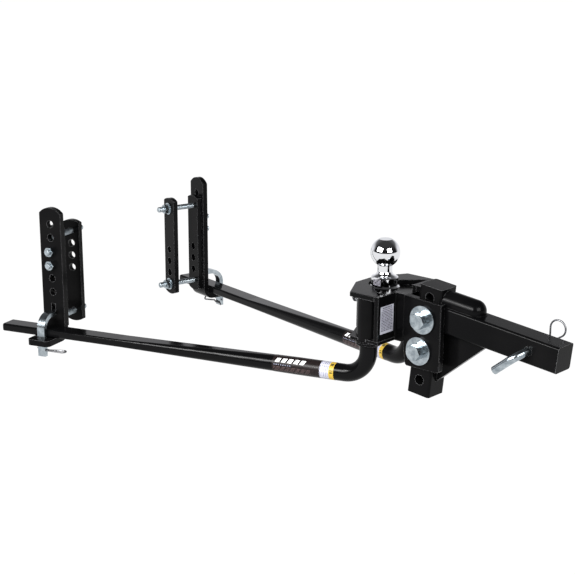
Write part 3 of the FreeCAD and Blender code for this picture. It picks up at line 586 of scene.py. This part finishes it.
def make_small_marks():
    """Lines of plain dashes on the rating label, and of short bars on the ball's wrench flat."""
    low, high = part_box("rating_label")
    label = Shape()
    face = high.x + 0.00004
    margin = 0.0028
    inner = high.y - low.y - 2 * margin
    up = (0, 0, 1)
    across = (0, 1, 0)
    for share, tall in ((0.915, 0.0028), (0.855, 0.0016)):
        z = low.z + (high.z - low.z) * share
        for k in range(6):
            corner = (face, low.y + margin + inner * (0.1 + k * 0.14), z)
            mark(label, corner, across, up, (inner * 0.10, tall))
    for row in range(13):
        z = high.z - LINES_FROM - row * LINE_PITCH
        place = 0.0
        word = row
        while place < inner - 0.002:
            word = (word * 7 + 3) % 11
            wide = min(0.0018 + 0.0005 * word, inner - place)
            mark(label, (face, low.y + margin + place, z), across, up, (wide, LINE_TALL))
            place += wide + LINE_GAP
    level = Matrix.Identity(4)
    label.piece("rating_label_print", level, "head", [PRINT["ink"]], smooth=False)
    etched = Shape()
    for row in range(6):
        z = -0.0622 + row * 0.0022
        for k in range(7):
            wide = 0.0011 + 0.0003 * ((row * 5 + k * 3) % 4)
            mark(etched, (-0.0085 + k * 0.0025, FLAT_FACE_Y, z), (1, 0, 0), up, (wide, 0.0011))
    etched.piece("ball_flat_marks", level, "head", [PRINT["etch"]], smooth=False)


make_threads()
make_welds()
make_bar_decals()
make_small_marks()


# ---- studio ------------------------------------------------------------------------------------
FLOOR_DROP = 0.004
FLOOR_SIZE = 60.0


def make_floor():
    mesh = bpy.data.meshes.new("studio_floor")
    floor = bpy.data.objects.new("studio_floor", mesh)
    bpy.context.scene.collection.objects.link(floor)
    grid = bmesh.new()
    bmesh.ops.create_grid(grid, x_segments=1, y_segments=1, size=FLOOR_SIZE / 2)
    grid.to_mesh(mesh)
    grid.free()
    floor.location.z = cad_low.z - FLOOR_DROP
    finish = Finish("floor_white", (0.02, 0.02, 0.02), 0.9, specular=0.0)
    finish.shader.inputs["Emission Color"].default_value = (1.0, 1.0, 1.0, 1.0)
    finish.shader.inputs["Emission Strength"].default_value = 1.02
    mesh.materials.append(finish.material)


def make_world():
    """A white sweep behind the object, a dark room in front of it, and white wherever it shows."""
    world = bpy.data.worlds.new("studio")
    bpy.context.scene.world = world
    world.use_nodes = True
    nodes = world.node_tree.nodes
    links = world.node_tree.links
    place = nodes.new("ShaderNodeTexCoord").outputs["Generated"]
    split = nodes.new("ShaderNodeSeparateXYZ")
    links.new(place, split.inputs["Vector"])

    def tones(stops):
        ramp = nodes.new("ShaderNodeValToRGB")
        elements = ramp.color_ramp.elements
        while len(elements) < len(stops):
            elements.new(0.5)
        for element, (height, grey) in zip(elements, stops):
            element.position = height
            element.color = (grey, grey, grey * 1.03, 1.0)
        links.new(split.outputs["Z"], ramp.inputs["Fac"])
        return ramp.outputs["Color"]

    behind = tones([(0.0, 1.0), (0.2, 0.95), (0.34, 0.7), (0.55, 0.16), (1.0, 0.05)])
    before = tones([(0.0, 0.010), (0.3, 0.014), (0.6, 0.040), (1.0, 0.050)])
    depth = nodes.new("ShaderNodeVectorMath")
    depth.operation = "DOT_PRODUCT"
    depth.inputs[1].default_value = (-0.62, 0.78, 0.0)
    links.new(place, depth.inputs[0])
    share = nodes.new("ShaderNodeMapRange")
    share.interpolation_type = "SMOOTHSTEP"
    share.inputs["From Min"].default_value = -0.05
    share.inputs["From Max"].default_value = 0.45
    links.new(depth.outputs["Value"], share.inputs["Value"])
    mix = nodes.new("ShaderNodeMix")
    mix.data_type = "RGBA"
    links.new(share.outputs["Result"], mix.inputs["Factor"])
    links.new(before, mix.inputs[6])
    links.new(behind, mix.inputs[7])
    shown = nodes.new("ShaderNodeMix")
    shown.data_type = "RGBA"
    shown.inputs[7].default_value = (1.0, 1.0, 1.0, 1.0)
    links.new(nodes.new("ShaderNodeLightPath").outputs["Is Camera Ray"], shown.inputs["Factor"])
    links.new(mix.outputs[2], shown.inputs[6])
    links.new(shown.outputs[2], nodes["Background"].inputs["Color"])


def make_softbox(name, direction, distance, width, height, radiance):
    """Rectangular softbox aimed at the ball; its power gives the radiance asked for."""
    light = bpy.data.lights.new(name, "AREA")
    light.shape = "RECTANGLE"
    light.size = width
    light.size_y = height
    light.energy = radiance * math.pi * width * height
    lamp = bpy.data.objects.new(name, light)
    bpy.context.scene.collection.objects.link(lamp)
    away = Vector(direction).normalized()
    lamp.location = away * distance
    lamp.rotation_mode = "QUATERNION"
    lamp.rotation_quaternion = away.to_track_quat("Z", "Y")


CAMERA_PLACE = Vector((1.80353, -2.40221, 0.74805))
CAMERA_YAW = math.radians(-40.313)
CAMERA_PITCH = math.radians(15.451)
CAMERA_ROLL = math.radians(0.772)
LENS_MM = 99.81
SHIFT_X = -0.0087
SHIFT_Y = 0.0060


def make_camera():
    camera = bpy.data.cameras.new("camera")
    camera.sensor_width = 36.0
    camera.lens = LENS_MM
    camera.shift_x = SHIFT_X
    camera.shift_y = SHIFT_Y
    camera.clip_end = 100.0
    holder = bpy.data.objects.new("camera", camera)
    bpy.context.scene.collection.objects.link(holder)
    level = Vector((math.cos(CAMERA_YAW), -math.sin(CAMERA_YAW), 0.0))
    ahead = Vector((math.sin(CAMERA_YAW) * math.cos(CAMERA_PITCH),
                    math.cos(CAMERA_YAW) * math.cos(CAMERA_PITCH), -math.sin(CAMERA_PITCH)))
    upright = level.cross(ahead)
    right = math.cos(CAMERA_ROLL) * level + math.sin(CAMERA_ROLL) * upright
    up = -math.sin(CAMERA_ROLL) * level + math.cos(CAMERA_ROLL) * upright
    turn = Matrix((right, up, -ahead)).transposed()
    holder.matrix_world = Matrix.Translation(CAMERA_PLACE) @ turn.to_4x4()
    bpy.context.scene.camera = holder


make_floor()
make_world()
make_softbox("softbox_side", (-0.150, -0.888, 0.434), 3.0, 2.3, 1.6, 10.0)
make_softbox("softbox_side_core", (-0.150, -0.888, 0.434), 2.95, 2.2, 0.42, 34.0)
make_softbox("softbox_front", (0.872, -0.282, 0.400), 3.2, 1.95, 1.5, 12.0)
make_camera()
bpy.context.scene.view_settings.view_transform = "Standard"
